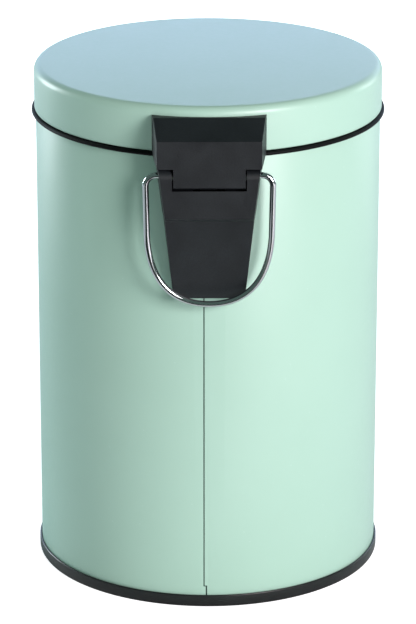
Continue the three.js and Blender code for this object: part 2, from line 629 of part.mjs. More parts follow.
function pedalPad() {
  const outline = new THREE.Shape();
  const back = -PEDAL_REACH + PAD_DEPTH;
  const front = -PEDAL_REACH;
  const c = PAD_CORNER;
  outline.moveTo(-PAD_HALF, back);
  outline.lineTo(-PAD_HALF, front + c);
  outline.absarc(-PAD_HALF + c, front + c, c, Math.PI, 1.5 * Math.PI, false);
  outline.lineTo(PAD_HALF - c, front);
  outline.absarc(PAD_HALF - c, front + c, c, 1.5 * Math.PI, 2 * Math.PI, false);
  outline.lineTo(PAD_HALF, back);
  outline.closePath();
  const bevel = 1.5;
  const slab = new THREE.ExtrudeGeometry(outline, {
    depth: PAD_T - 2 * bevel,
    bevelThickness: bevel,
    bevelSize: bevel,
    bevelOffset: -bevel,
    bevelSegments: 2,
    curveSegments: 6,
  });
  const body = solidOf(slab.translate(0, 0, -PAD_T / 2 + bevel));
  const pocket = box(-PEDAL_HALF - GAP, PEDAL_HALF + GAP, front + 4 - GAP, back + 5,
    -PEDAL_T / 2 - GAP, PEDAL_T / 2 + GAP);
  const grooves = [];
  for (let y = front + 6; y < back - 4; y += PAD_RIB_PITCH) {
    grooves.push(box(-PAD_HALF + 5, PAD_HALF - 5, y, y + 1.5, PAD_T / 2 - 0.7, PAD_T));
  }
  return body.subtract(pocket).subtract(wasm.Manifold.union(grooves));
}

const pedalPinHalf = () => PEDAL_BOSS_HALF + GAP + LUG_T + GAP + CLIP_T + 1;

const pedalPin = () => barX(PEDAL_PIN_R, pedalPinHalf(), 0, 0, 24);

function pedalClip(side) {
  const x = PEDAL_BOSS_HALF + GAP + LUG_T + GAP + CLIP_T / 2;
  const ring = turnedGeometry([
    [PEDAL_PIN_R + GAP, -CLIP_T / 2],
    [CLIP_R, -CLIP_T / 2],
    [CLIP_R, CLIP_T / 2],
    [PEDAL_PIN_R + GAP, CLIP_T / 2],
    [PEDAL_PIN_R + GAP, -CLIP_T / 2],
  ], 24);
  return ring.rotateY(Math.PI / 2).translate(side * x, 0, 0);
}

// ---- Inner bucket and its bail ----------------------------------------------------------------------

function innerBucket() {
  const t = BUCKET_T;
  const rise = BUCKET_TOP - BUCKET_FOOT;
  const wallAt = (z) =>
    BUCKET_FOOT_R + ((BUCKET_TOP_R - BUCKET_FOOT_R) * (z - BUCKET_FOOT)) / rise;
  const shell = turned([
    [0, BUCKET_FOOT],
    [BUCKET_FOOT_R - 2, BUCKET_FOOT],
    [BUCKET_FOOT_R, BUCKET_FOOT + 2],
    [wallAt(BUCKET_TOP - t), BUCKET_TOP - t],
    [BUCKET_RIM_R, BUCKET_TOP - t],
    [BUCKET_RIM_R, BUCKET_TOP],
    [BUCKET_TOP_R - t, BUCKET_TOP],
    [BUCKET_FOOT_R - t, BUCKET_FOOT + 3],
    [BUCKET_FOOT_R - t - 1.5, BUCKET_FOOT + t],
    [0, BUCKET_FOOT + t],
  ]);
  const holes = barX(BAIL_WIRE_R + GAP, 90, 0, BAIL_Z, 20);
  const ledgeTop = BAIL_Z - GRIP_R - GAP;
  const ledge = box(-4, 4, -wallAt(ledgeTop) + t / 2, -BAIL_DEPTH + 3, ledgeTop - 2, ledgeTop);
  return shell.subtract(holes).add(ledge);
}

// Half of an ellipse in the X-Y plane, towards the front, between two angles in degrees.
class BailCurve extends THREE.Curve {
  constructor(from, to) {
    super();
    this.from = from;
    this.to = to;
  }

  getPoint(t, target = new THREE.Vector3()) {
    const angle = THREE.MathUtils.degToRad(THREE.MathUtils.lerp(this.from, this.to, t));
    return target.set(BAIL_HALF * Math.cos(angle), BAIL_DEPTH * Math.sin(angle), 0);
  }
}

// The bail's ends go through the bucket's wall on the pivot line.
function bucketBail() {
  const curve = solidOf(wire(new BailCurve(-180, 0), BAIL_WIRE_R, 48, 8));
  const ends = [-1, 1].map((side) => {
    const x0 = BAIL_HALF - BAIL_WIRE_R;
    const x1 = BUCKET_TOP_R + 1;
    const end = new THREE.CylinderGeometry(BAIL_WIRE_R, BAIL_WIRE_R, x1 - x0, 16);
    return solidOf(end.rotateZ(Math.PI / 2).translate((side * (x0 + x1)) / 2, 0, 0));
  });
  return curve.add(wasm.Manifold.union(ends));
}

function bailGrip() {
  const outer = solidOf(wire(new BailCurve(-90 - GRIP_ANGLE, -90 + GRIP_ANGLE), GRIP_R, 10, 10));
  const inner = new BailCurve(-92 - GRIP_ANGLE, -88 + GRIP_ANGLE);
  return outer.subtract(solidOf(wire(inner, BAIL_WIRE_R + GAP + 0.1, 12, 10)));
}

// ---- Assembly -------------------------------------------------------------------------------------------

const bin = new THREE.Group();

bin.add(piece('body_shell', bodyShell(), MINT()));
bin.add(piece('base_moulding', baseMoulding(), BLACK()));
bin.add(piece('rim_ring', rimRing(), BLACK()));
bin.add(piece('hinge_housing', hingeHousing(), BLACK()));
bin.add(piece('rod_guide', rodGuide(), BLACK()));
bin.add(piece('hinge_pin', hingePin(), STEEL()));

housingScrewPlaces().forEach(([x, z], index) => {
  const length = housingScrewTip() - housingScrewSeat();
  const mesh = piece(`housing_screw_${index + 1}`, screw(length), STEEL());
  mesh.position.set(x, housingScrewSeat(), z);
  bin.add(mesh);
});

const lid = new THREE.Group();
lid.add(piece('lid_shell', lidShell(), MINT()));
lid.add(piece('lid_leaf', lidLeaf(), BLACK()));
[-1, 1].forEach((side) => {
  const name = side < 0 ? 'lid_screw_left' : 'lid_screw_right';
  const mesh = piece(name, screw(lidScrewTip() - lidScrewSeat()), STEEL());
  mesh.position.set(side * LID_SCREW_X, lidScrewSeat(), LID_SCREW_Z);
  lid.add(mesh);
});
bin.add(lid);

const handle = piece('carry_handle', carryHandle(), CHROME());
handle.position.set(0, HANDLE_OUT, HINGE_Z);
handle.rotation.x = THREE.MathUtils.degToRad(HANDLE_LEAN);
bin.add(handle);

const rod = new THREE.Group();
rod.position.y = ROD_OUT;
rod.add(piece('push_rod', pushRod(), STEEL()));
rod.add(piece('push_rod_cap', rodCap(), BLACK()));
bin.add(rod);

const pedal = new THREE.Group();
pedal.position.set(0, PEDAL_PIVOT_Y, PEDAL_PIVOT_Z);
pedal.rotation.x = -PEDAL_TILT;
pedal.add(piece('pedal_lever', pedalLever(), STEEL()));
pedal.add(piece('pedal_pad', pedalPad(), BLACK()));
bin.add(pedal);

const pivot = new THREE.Group();
pivot.position.set(0, PEDAL_PIVOT_Y, PEDAL_PIVOT_Z);
pivot.add(piece('pedal_pin', pedalPin(), STEEL()));
pivot.add(piece('pedal_clip_left', pedalClip(-1), STEEL()));
pivot.add(piece('pedal_clip_right', pedalClip(1), STEEL()));
bin.add(pivot);

bin.add(piece('inner_bucket', innerBucket(), GREY()));
const bail = new THREE.Group();
bail.position.z = BAIL_Z;
bail.add(piece('bucket_bail', bucketBail(), STEEL()));
bail.add(piece('bail_grip', bailGrip(), BLACK()));
bin.add(bail);

// The bin stands with the middle of its overall depth over the origin.
const extent = new THREE.Box3().setFromObject(bin);
bin.position.y = -(extent.min.y + extent.max.y) / 2;

export default bin;
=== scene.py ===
# %% [markdown]
# # A pedal bin for the bathroom
# The bin is a rolled sheet-steel body with a flat steel lid, a black rim ring and base, a moulded hinge
# at the back and a chromed wire handle. The working parts come from a CAD model, which is loaded here as
# a fixed frame. This lesson gives each of them the shape, edge and finish that the real part has.
# Everything is in metres, with the floor at Z = 0, the pedal at -Y and the hinge at +Y.

# %% Load the frame and keep its box
import json
import math
import bpy
import bmesh
from mathutils import Vector, Matrix


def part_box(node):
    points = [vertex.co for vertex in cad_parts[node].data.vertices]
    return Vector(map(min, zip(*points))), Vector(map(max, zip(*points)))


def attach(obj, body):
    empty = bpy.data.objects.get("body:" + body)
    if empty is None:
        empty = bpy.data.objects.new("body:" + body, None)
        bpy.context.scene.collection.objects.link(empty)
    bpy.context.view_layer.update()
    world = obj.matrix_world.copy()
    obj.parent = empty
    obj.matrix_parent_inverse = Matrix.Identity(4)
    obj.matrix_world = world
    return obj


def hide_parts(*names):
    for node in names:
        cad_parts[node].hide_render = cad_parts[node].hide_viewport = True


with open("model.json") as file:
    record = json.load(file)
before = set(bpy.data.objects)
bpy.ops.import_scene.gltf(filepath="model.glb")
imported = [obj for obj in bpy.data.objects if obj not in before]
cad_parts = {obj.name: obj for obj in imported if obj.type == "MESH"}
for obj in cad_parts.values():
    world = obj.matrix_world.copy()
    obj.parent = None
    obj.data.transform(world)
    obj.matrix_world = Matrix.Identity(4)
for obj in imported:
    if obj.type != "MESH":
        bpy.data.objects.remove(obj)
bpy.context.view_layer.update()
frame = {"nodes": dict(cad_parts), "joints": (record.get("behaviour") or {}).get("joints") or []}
nodes = frame["nodes"]
MM = 0.001

# %% [markdown]
# ## Sizes that everything hangs on
# Each CAD node knows its own box, so the bin's upright axis, its wall radius and the heights of its parts
# are read from those boxes, and most other sizes follow from them. What a box can't tell, such as a wall's
# thickness or a slot's height, is typed in where it is first needed.

# %% Read the main sizes from the CAD boxes
body_low, body_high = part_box("body_shell")
lid_low, lid_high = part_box("lid_shell")
rim_low, rim_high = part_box("rim_ring")
base_low, base_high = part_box("base_moulding")
bucket_low, bucket_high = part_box("inner_bucket")

AXIS = Vector(((body_low.x + body_high.x) / 2, (body_low.y + body_high.y) / 2, 0))
BODY_R = (body_high.x - body_low.x) / 2
LID_R = (lid_high.x - lid_low.x) / 2
RIM_R = (rim_high.x - rim_low.x) / 2
BASE_R = (base_high.x - base_low.x) / 2
BUCKET_R = (bucket_high.x - bucket_low.x) / 2
SHEET = 0.8 * MM
GAP = 0.3 * MM
ROUND = 240
print("wall radius mm:", round(BODY_R / MM, 2), "lid:", round(LID_R / MM, 2))
print("axis y mm:", round(AXIS.y / MM, 2))

# %% [markdown]
# ## Helpers: a node with its links, and colours
# Shader trees and geometry trees are built the same way: create a node, set its options, then either type
# a value into a socket or link another node's output to it. One small function does all of that.
# Blender works in linear light, so hex colours, which are sRGB, go through one function that turns them.

# %% Node and colour helpers
def add(tree, kind, inputs=None, **options):
    node = tree.nodes.new(kind)
    for option, value in options.items():
        setattr(node, option, value)
    for key, value in (inputs or {}).items():
        if isinstance(value, bpy.types.NodeSocket):
            tree.links.new(value, node.inputs[key])
        else:
            node.inputs[key].default_value = value
    return node


def hex_colour(code):
    channels = [int(code[i:i + 2], 16) / 255 for i in (1, 3, 5)]
    linear = [c / 12.92 if c <= 0.04045 else ((c + 0.055) / 1.055) ** 2.4 for c in channels]
    return (*linear, 1.0)


def new_finish(name):
    finish = bpy.data.materials.new(name)
    finish.use_nodes = True
    tree = finish.node_tree
    tree.nodes.clear()
    shader = add(tree, "ShaderNodeBsdfPrincipled")
    add(tree, "ShaderNodeOutputMaterial", {"Surface": shader.outputs["BSDF"]})
    place = add(tree, "ShaderNodeTexCoord").outputs["Object"]
    return finish, tree, shader, place


def per_mm(size_mm):
    return 1 / (size_mm * MM)


print("mint as linear light:", [round(c, 3) for c in hex_colour("#8fc4b0")])

# %% [markdown]
# ## Powder-coated steel
# The body and the lid are sheet steel, sprayed with dry powder and baked. The melted powder leaves a satin
# skin with a faint orange peel, waves one to three millimetres long and only microns deep, which blurs
# reflections a little unevenly. Under the peel lies a finer texture, and the colour drifts by a percent
# or two where the coat is thicker. Both scales are bump, and the finer one is drawn coarser than it is.
# The seam gets painted shade, a dark mint deeper than its shallow groove casts. A mask finds those faces by
# their distance from the bin's axis: it fades in just under the wall's outside and out again above its
# inside.

# %% Make the mint powder coat
FADE_IN = (0.1 * MM, 0.3 * MM)
FADE_OUT = (0.7 * MM, 0.76 * MM)


def seam_shade_mask(tree, place, outer_r):
    flat = add(tree, "ShaderNodeVectorMath", {0: place, 1: (1, 1, 0)}, operation="MULTIPLY")
    spoke = add(tree, "ShaderNodeVectorMath", {0: flat.outputs[0], 1: AXIS}, operation="SUBTRACT")
    length = add(tree, "ShaderNodeVectorMath", {0: spoke.outputs[0]}, operation="LENGTH")
    radius = length.outputs["Value"]
    under_skin = add(tree, "ShaderNodeMapRange", {
        "Value": radius, "From Min": outer_r - FADE_IN[1], "From Max": outer_r - FADE_IN[0],
        "To Min": 1.0, "To Max": 0.0})
    above_inside = add(tree, "ShaderNodeMapRange", {
        "Value": radius, "From Min": outer_r - FADE_OUT[1], "From Max": outer_r - FADE_OUT[0]})
    both = add(tree, "ShaderNodeMath", {
        0: under_skin.outputs["Result"], 1: above_inside.outputs["Result"]}, operation="MULTIPLY")
    return both.outputs[0]


def powder_coat(name, seam_r=None):
    finish, tree, shader, place = new_finish(name)
    drift = add(tree, "ShaderNodeTexNoise", {"Vector": place, "Scale": per_mm(60), "Detail": 3.0})
    peel = add(tree, "ShaderNodeTexNoise", {"Vector": place, "Scale": per_mm(2.2), "Detail": 2.0})
    grit = add(tree, "ShaderNodeTexNoise", {"Vector": place, "Scale": per_mm(0.5), "Detail": 1.0})
    specks = add(tree, "ShaderNodeTexVoronoi", {"Vector": place, "Scale": per_mm(7.0), "Randomness": 1.0})
    speck_mask = add(tree, "ShaderNodeMapRange", {
        "Value": specks.outputs["Distance"], "From Min": 0.03, "From Max": 0.05,
        "To Min": 1.0, "To Max": 0.0})
    colour = add(tree, "ShaderNodeMix", {
        "Factor": drift.outputs["Fac"], 6: hex_colour("#add1c0"), 7: hex_colour("#b5d7c7")},
        data_type="RGBA")
    speckled = add(tree, "ShaderNodeMix", {
        "Factor": speck_mask.outputs["Result"], 6: colour.outputs[2], 7: hex_colour("#bedccf")},
        data_type="RGBA")
    rough = add(tree, "ShaderNodeMapRange", {
        "Value": peel.outputs["Fac"], "From Min": 0.3, "From Max": 0.7, "To Min": 0.36, "To Max": 0.44})
    fine = add(tree, "ShaderNodeBump", {
        "Height": grit.outputs["Fac"], "Strength": 0.35, "Distance": 0.02 * MM})
    waves = add(tree, "ShaderNodeBump", {
        "Height": peel.outputs["Fac"], "Strength": 0.5, "Distance": 0.03 * MM,
        "Normal": fine.outputs["Normal"]})
    skin = speckled.outputs[2]
    # Painted shade: faces down in the seam are mixed to dark mint.
    if seam_r:
        seam_shaded = add(tree, "ShaderNodeMix", {
            "Factor": seam_shade_mask(tree, place, seam_r), 6: skin, 7: hex_colour("#2c4a40")},
            data_type="RGBA")
        skin = seam_shaded.outputs[2]
    tree.links.new(skin, shader.inputs["Base Color"])
    tree.links.new(rough.outputs["Result"], shader.inputs["Roughness"])
    tree.links.new(waves.outputs["Normal"], shader.inputs["Normal"])
    shader.inputs["IOR"].default_value = 1.5
    shader.inputs["Coat Weight"].default_value = 0.3
    shader.inputs["Coat Roughness"].default_value = 0.35
    return finish


MINT = powder_coat("powder-coated steel, mint")
MINT_BODY = powder_coat("powder-coated steel, mint, bare in the seam", BODY_R)
print("made", MINT.name, "and", MINT_BODY.name)

# %% [markdown]
# ## Textured black plastic
# The hinge, the rim, the base and the pedal pad are injection moulded in black polypropylene against a
# spark-eroded mould. That leaves a grain of tiny pits about half a millimetre apart, which scatters light
# and makes the black look like soft charcoal. Faint flow marks a few centimetres long run through it.
# The base comes from a polished mould and is glossier, the rim ring from a blasted one, so that it hardly
# shines; it is also painted a shade blacker as shade under the lid, so it reads as a plain dark line. The
# bucket is the same plastic in grey.

# %% Make the black plastics
def moulded_plastic(name, dark, light, grain_mm, roughness, shine=0.5):
    finish, tree, shader, place = new_finish(name)
    flow = add(tree, "ShaderNodeTexNoise", {
        "Vector": place, "Scale": per_mm(18), "Detail": 4.0, "Distortion": 0.6})
    grain = add(tree, "ShaderNodeTexNoise", {
        "Vector": place, "Scale": per_mm(grain_mm), "Detail": 2.0, "Roughness": 0.6})
    pits = add(tree, "ShaderNodeTexVoronoi", {
        "Vector": place, "Scale": per_mm(grain_mm * 1.6), "Randomness": 1.0}, feature="SMOOTH_F1")
    mixed = add(tree, "ShaderNodeMath", {
        0: grain.outputs["Fac"], 1: flow.outputs["Fac"]}, operation="MULTIPLY")
    level = add(tree, "ShaderNodeMapRange", {
        "Value": mixed.outputs[0], "From Min": 0.14, "From Max": 0.38})
    colour = add(tree, "ShaderNodeMix", {
        "Factor": level.outputs["Result"], 6: hex_colour(dark), 7: hex_colour(light)}, data_type="RGBA")
    rough = add(tree, "ShaderNodeMapRange", {
        "Value": flow.outputs["Fac"], "From Min": 0.3, "From Max": 0.7,
        "To Min": roughness - 0.05, "To Max": roughness + 0.06})
    fine = add(tree, "ShaderNodeBump", {
        "Height": grain.outputs["Fac"], "Strength": 0.5, "Distance": 0.05 * MM})
    coarse = add(tree, "ShaderNodeBump", {
        "Height": pits.outputs["Distance"], "Strength": 0.4, "Distance": 0.04 * MM,
        "Normal": fine.outputs["Normal"]})
    tree.links.new(colour.outputs[2], shader.inputs["Base Color"])
    tree.links.new(rough.outputs["Result"], shader.inputs["Roughness"])
    tree.links.new(coarse.outputs["Normal"], shader.inputs["Normal"])
    shader.inputs["IOR"].default_value = 1.49
    shader.inputs["Specular IOR Level"].default_value = shine
    return finish


BLACK = moulded_plastic("moulded polypropylene, black", "#121519", "#1a1f23", 0.7, 0.5)
GLOSSY_BLACK = moulded_plastic("moulded polypropylene, smooth black", "#0a0b0d", "#101215", 0.5, 0.34)
# The rim's near-black colours are painted shade under the lid's edge; its low shine is the matt mould.
RIM_BLACK = moulded_plastic("moulded polypropylene, matt rim", "#050607", "#0a0b0c", 0.5, 0.62, shine=0.15)
BUCKET = moulded_plastic("moulded polypropylene, grey bucket", "#33373a", "#3d4144", 1.0, 0.5)
print("made", [finish.name for finish in (BLACK, GLOSSY_BLACK, RIM_BLACK, BUCKET)])

# %% [markdown]
# ## Chrome and zinc
# The carry handle is hard drawn wire, polished and chrome plated: almost a mirror, with hairline marks from
# polishing along it. The parts hidden inside are zinc plated, duller, with a mottled spangle and a
# slightly warm tint where the plating has been passivated.

# %% Make the metals
def chrome_plate():
    finish, tree, shader, place = new_finish("chrome-plated wire")
    haze = add(tree, "ShaderNodeTexNoise", {"Vector": place, "Scale": per_mm(9), "Detail": 3.0})
    stretched = add(tree, "ShaderNodeMapping", {"Vector": place, "Scale": (1.0, 1.0, 0.08)})
    hairlines = add(tree, "ShaderNodeTexNoise", {
        "Vector": stretched.outputs["Vector"], "Scale": per_mm(0.35), "Detail": 1.0})
    colour = add(tree, "ShaderNodeMix", {
        "Factor": haze.outputs["Fac"], 6: hex_colour("#c4c8cc"), 7: hex_colour("#d2d4d6")},
        data_type="RGBA")
    rough = add(tree, "ShaderNodeMapRange", {
        "Value": haze.outputs["Fac"], "From Min": 0.3, "From Max": 0.7, "To Min": 0.05, "To Max": 0.11})
    bump = add(tree, "ShaderNodeBump", {
        "Height": hairlines.outputs["Fac"], "Strength": 0.2, "Distance": 0.01 * MM})
    tree.links.new(colour.outputs[2], shader.inputs["Base Color"])
    tree.links.new(rough.outputs["Result"], shader.inputs["Roughness"])
    tree.links.new(bump.outputs["Normal"], shader.inputs["Normal"])
    shader.inputs["Metallic"].default_value = 1.0
    return finish


def zinc_plate():
    finish, tree, shader, place = new_finish("zinc-plated steel")
    spangle = add(tree, "ShaderNodeTexVoronoi", {"Vector": place, "Scale": per_mm(2.5), "Randomness": 1.0})
    rolled = add(tree, "ShaderNodeMapping", {"Vector": place, "Scale": (1.0, 0.06, 1.0)})
    lines = add(tree, "ShaderNodeTexNoise", {
        "Vector": rolled.outputs["Vector"], "Scale": per_mm(0.6), "Detail": 2.0})
    colour = add(tree, "ShaderNodeMix", {
        "Factor": spangle.outputs["Color"], 6: hex_colour("#a3a8ab"), 7: hex_colour("#bdbcb4")},
        data_type="RGBA")
    rough = add(tree, "ShaderNodeMapRange", {
        "Value": lines.outputs["Fac"], "From Min": 0.3, "From Max": 0.7, "To Min": 0.26, "To Max": 0.42})
    bump = add(tree, "ShaderNodeBump", {
        "Height": lines.outputs["Fac"], "Strength": 0.4, "Distance": 0.02 * MM})
    tree.links.new(colour.outputs[2], shader.inputs["Base Color"])
    tree.links.new(rough.outputs["Result"], shader.inputs["Roughness"])
    tree.links.new(bump.outputs["Normal"], shader.inputs["Normal"])
    shader.inputs["Metallic"].default_value = 1.0
    return finish


CHROME = chrome_plate()
ZINC = zinc_plate()
print("made", CHROME.name, "and", ZINC.name)

# %% [markdown]
# ## Helpers: turned shapes, cutting and finishing a mesh
# Most of the bin is round, so its sheet and mouldings are outlines turned about the upright axis. A real
# pressing or moulding has no sharp corner, so an outline's corner is replaced by a small arc first.
# Openings are then cut with boolean blocks. The last helper bakes all modifiers into one plain mesh,
# shades it smooth where its faces meet gently, and hands it to the body that it moves with.

# %% Turn a rounded outline about the bin's axis
def rounded(corners, closed=True, steps=5):
    points = []
    count = len(corners)
    for i, (r, z, radius) in enumerate(corners):
        here = Vector((r, z))
        if radius == 0 or (not closed and i in (0, count - 1)):
            points.append(here)
            continue
        before = (Vector(corners[i - 1][:2]) - here).normalized()
        after = (Vector(corners[(i + 1) % count][:2]) - here).normalized()
        half = before.angle(after) / 2
        reach = radius / math.tan(half)
        centre = here + (before + after).normalized() * (radius / math.sin(half))
        start = here + before * reach - centre
        turn = start.angle_signed(here + after * reach - centre)
        for k in range(steps + 1):
            angle = -turn * k / steps
            c, s = math.cos(angle), math.sin(angle)
            points.append(centre + Vector((start.x * c - start.y * s, start.x * s + start.y * c)))
    return points


def mesh_object(name, bm):
    bmesh.ops.recalc_face_normals(bm, faces=bm.faces)
    mesh = bpy.data.meshes.new(name)
    bm.to_mesh(mesh)
    bm.free()
    shape = bpy.data.objects.new(name, mesh)
    bpy.context.scene.collection.objects.link(shape)
    return shape


def turned(name, outline, closed=True, segments=ROUND):
    bm = bmesh.new()
    rings = []
    for point in outline:
        if point.x < 1e-6:
            rings.append([bm.verts.new((AXIS.x, AXIS.y, point.y))])
            continue
        ring = []
        for i in range(segments):
            angle = 2 * math.pi * i / segments
            ring.append(bm.verts.new((AXIS.x + point.x * math.sin(angle),
                                      AXIS.y + point.x * math.cos(angle), point.y)))
        rings.append(ring)
    pairs = list(zip(rings, rings[1:] + rings[:1])) if closed else list(zip(rings, rings[1:]))
    for lower, upper in pairs:
        for i in range(segments):
            k = (i + 1) % segments
            if len(lower) == 1 and len(upper) == 1:
                continue
            if len(lower) == 1:
                bm.faces.new((lower[0], upper[i], upper[k]))
            elif len(upper) == 1:
                bm.faces.new((lower[i], lower[k], upper[0]))
            else:
                bm.faces.new((lower[i], lower[k], upper[k], upper[i]))
    return mesh_object(name, bm)


corner = rounded([(0, 0, 0), (10, 0, 2), (10, 10, 0)], closed=False)
print("a 2 mm corner rounded in 5 steps has", len(corner) - 2, "points")

# %% Cut openings, bake modifiers and finish a piece
def block(low, high, turn_deg=0.0):
    bm = bmesh.new()
    bmesh.ops.create_cube(bm, size=1.0)
    size = Vector(high) - Vector(low)
    centre = (Vector(high) + Vector(low)) / 2
    bmesh.ops.transform(bm, verts=bm.verts, matrix=Matrix.Translation(centre) @ Matrix.Diagonal((*size, 1)))
    if turn_deg:
        spin = Matrix.Rotation(math.radians(turn_deg), 4, "Z")
        around = Matrix.Translation(AXIS) @ spin @ Matrix.Translation(-AXIS)
        bmesh.ops.transform(bm, verts=bm.verts, matrix=around)
    return mesh_object("cutter", bm)


def baked(shape):
    view = bpy.context.evaluated_depsgraph_get()
    view.update()
    mesh = bpy.data.meshes.new_from_object(shape.evaluated_get(view), depsgraph=view)
    name = shape.name
    old = shape.data
    bpy.data.objects.remove(shape)
    plain = bpy.data.objects.new(name, mesh)
    mesh.name = name
    bpy.context.scene.collection.objects.link(plain)
    if isinstance(old, bpy.types.Mesh) and old.users == 0:
        bpy.data.meshes.remove(old)
    return plain


def cut(shape, cutters):
    for cutter in cutters:
        step = shape.modifiers.new("cut", "BOOLEAN")
        step.object = cutter
        step.operation = "DIFFERENCE"
        step.solver = "EXACT"
    shape = baked(shape)
    for cutter in cutters:
        bpy.data.objects.remove(cutter)
    return shape


def finish_piece(shape, body, finish, stands_for, sharp_deg=32):
    mesh = shape.data
    mesh.materials.clear()
    mesh.materials.append(finish)
    for face in mesh.polygons:
        face.material_index = 0
    mesh.shade_smooth()
    mesh.set_sharp_from_angle(angle=math.radians(sharp_deg))
    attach(shape, body)
    if stands_for:
        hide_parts(*stands_for)
    print(shape.name, "on", body, "-", len(mesh.polygons), "faces")
    return shape


# %% [markdown]
# ## The steel body
# A strip of sheet is rolled into a tube and its two ends are hooked together in a lock seam, which shows
# as one dark line down the back, a little to the side of the hinge. Near the foot the hooked edge is
# trimmed, so the line steps sideways. The tube's foot stands in the base moulding, its top under the
# bead. Behind the hinge housing a window lets the lid's lever in, and a slot at the front takes the pedal.

# %% Turn the body and cut its seam, window and slot
SEAM_DEG = -1.7
SEAM_W = 0.55 * MM
SEAM_DEPTH = 0.62 * MM
FOLD_TOP = 10.4 * MM
FOLD_LEFT, FOLD_RIGHT = -1.5 * MM, -0.8 * MM
STEP_TOP = FOLD_TOP + 0.5 * MM
wall = rounded([
    (BODY_R - SHEET, body_low.z, 0.2 * MM), (BODY_R, body_low.z, 0.2 * MM),
    (BODY_R, body_high.z, 0.2 * MM), (BODY_R - SHEET, body_high.z, 0.2 * MM)], steps=2)
body = turned("body_wall", wall)
outside = AXIS.y + BODY_R
seam_floor = outside - SEAM_DEPTH
past = outside + MM
seam = block((-SEAM_W / 2, seam_floor, FOLD_TOP), (SEAM_W / 2, past, body_high.z + MM), SEAM_DEG)
fold = block((FOLD_LEFT, seam_floor, body_low.z - MM), (FOLD_RIGHT, past, STEP_TOP), SEAM_DEG)
step_line = block((FOLD_LEFT, seam_floor, FOLD_TOP), (SEAM_W / 2, past, STEP_TOP), SEAM_DEG)
cap_low, cap_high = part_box("push_rod_cap")
SPARE = 4.5 * MM
WINDOW_HALF = (cap_high.x - cap_low.x) / 2 + SPARE
WINDOW_LOW = cap_low.z + 3 * MM
window = block((-WINDOW_HALF, AXIS.y, WINDOW_LOW), (WINDOW_HALF, past, body_high.z + MM))
SLOT_HALF = 13 * MM
SLOT_LOW = 8.6 * MM
SLOT_HIGH = 25.9 * MM
SLOT_REACH = 9 * MM
front = AXIS.y - BODY_R
slot = block((-SLOT_HALF, front - MM, SLOT_LOW), (SLOT_HALF, front + SLOT_REACH, SLOT_HIGH))
body = cut(body, [seam, fold, step_line, window, slot])
finish_piece(body, "bin", MINT_BODY, ["body_shell"])

# %% [markdown]
# ## The lid
# The lid is one flat disc of sheet, drawn down into a skirt over a soft four-millimetre edge. The skirt's
# raw edge is folded inwards and back up, so that it is safe to touch and stays round.

# %% Turn the lid
EDGE = 4.0 * MM
HEM_T = 0.7 * MM
HEM_H = 3.2 * MM
hem_r = LID_R - SHEET - HEM_T
lid_outline = rounded([
    (0, lid_high.z, 0), (LID_R, lid_high.z, EDGE), (LID_R, lid_low.z, 0.7 * MM),
    (hem_r, lid_low.z, 0.7 * MM), (hem_r, lid_low.z + HEM_H, 0.3 * MM),
    (LID_R - SHEET, lid_low.z + HEM_H, 0), (LID_R - SHEET, lid_high.z - SHEET, EDGE - SHEET),
    (0, lid_high.z - SHEET, 0)], closed=False, steps=10)
lid = turned("lid_disc_and_skirt", lid_outline, closed=False)
finish_piece(lid, "lid", MINT, ["lid_shell"])

# %% [markdown]
# ## Rim ring and base
# The rim ring is pressed into the top of the body and its half-round bead keeps the lid's steel off the
# body's. The base is a shallow tray whose outer lip wraps the body's foot and keeps wet floors away from
# the sheet. Under its floor, stiffening ribs run outwards from the middle, as a moulded tray needs.

# %% Turn the rim ring and the base
BEAD_H = 1.9 * MM
SLEEVE_T = 1.5 * MM
FLANGE_T = 2 * MM
bead_low = rim_high.z - BEAD_H
sleeve = BODY_R - SHEET - GAP
mouth = BODY_R - 6.5 * MM
flange_low = rim_high.z - FLANGE_T
rim_outline = rounded([
    (mouth, flange_low, 0.4 * MM), (sleeve - SLEEVE_T, flange_low, 0),
    (sleeve - SLEEVE_T, rim_low.z, 0.4 * MM), (sleeve, rim_low.z, 0.4 * MM), (sleeve, bead_low, 0),
    (RIM_R, bead_low, BEAD_H * 0.49), (RIM_R, rim_high.z, BEAD_H * 0.49), (mouth, rim_high.z, 0.6 * MM)])
rim = turned("rim_bead_ring", rim_outline)
notch = block((-WINDOW_HALF, AXIS.y, rim_low.z - MM), (WINDOW_HALF, AXIS.y + RIM_R + MM, rim_high.z + MM))
rim = cut(rim, [notch])
finish_piece(rim, "bin", RIM_BLACK, ["rim_ring"])

LIP_H = 6.1 * MM
GROOVE = 3.0 * MM
TRAY_WALL = 1.6 * MM
tray_floor = base_high.z - 2 * MM
base_outline = rounded([
    (0, tray_floor, 0), (sleeve - TRAY_WALL, tray_floor, 1.2 * MM), (sleeve - TRAY_WALL, 0, 0.3 * MM),
    (BASE_R, 0, 1.0 * MM), (BASE_R, LIP_H, 0.5 * MM), (BODY_R + GAP, LIP_H, 0.2 * MM),
    (BODY_R + GAP, GROOVE, 0), (sleeve, GROOVE, 0), (sleeve, base_high.z, 0.4 * MM), (0, base_high.z, 0)],
    closed=False, steps=4)
base = turned("base_tray", base_outline, closed=False)
TAIL_HALF = 7 * MM
rod_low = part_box("push_rod")[0]
rod_slot = block((-TAIL_HALF, rod_low.y - 3 * MM, 4 * MM),
                 (TAIL_HALF, AXIS.y + BODY_R - SHEET, base_high.z + MM))
front_slot = block((-SLOT_HALF, AXIS.y - BASE_R - 5 * MM, SLOT_LOW),
                   (SLOT_HALF, AXIS.y - sleeve + 8 * MM, SLOT_HIGH))
base = cut(base, [rod_slot, front_slot])
finish_piece(base, "bin", GLOSSY_BLACK, ["base_moulding"])

# %% [markdown]
# ## Stiffening ribs by Geometry Nodes
# The ribs are one bar repeated round a circle, which is what Geometry Nodes are for. A mesh line gives one
# point for each rib, its index gives the angle, and a cube is placed on every point, turned to point
# outwards. Count and sizes are the tree's inputs, so another tray would need only other numbers.

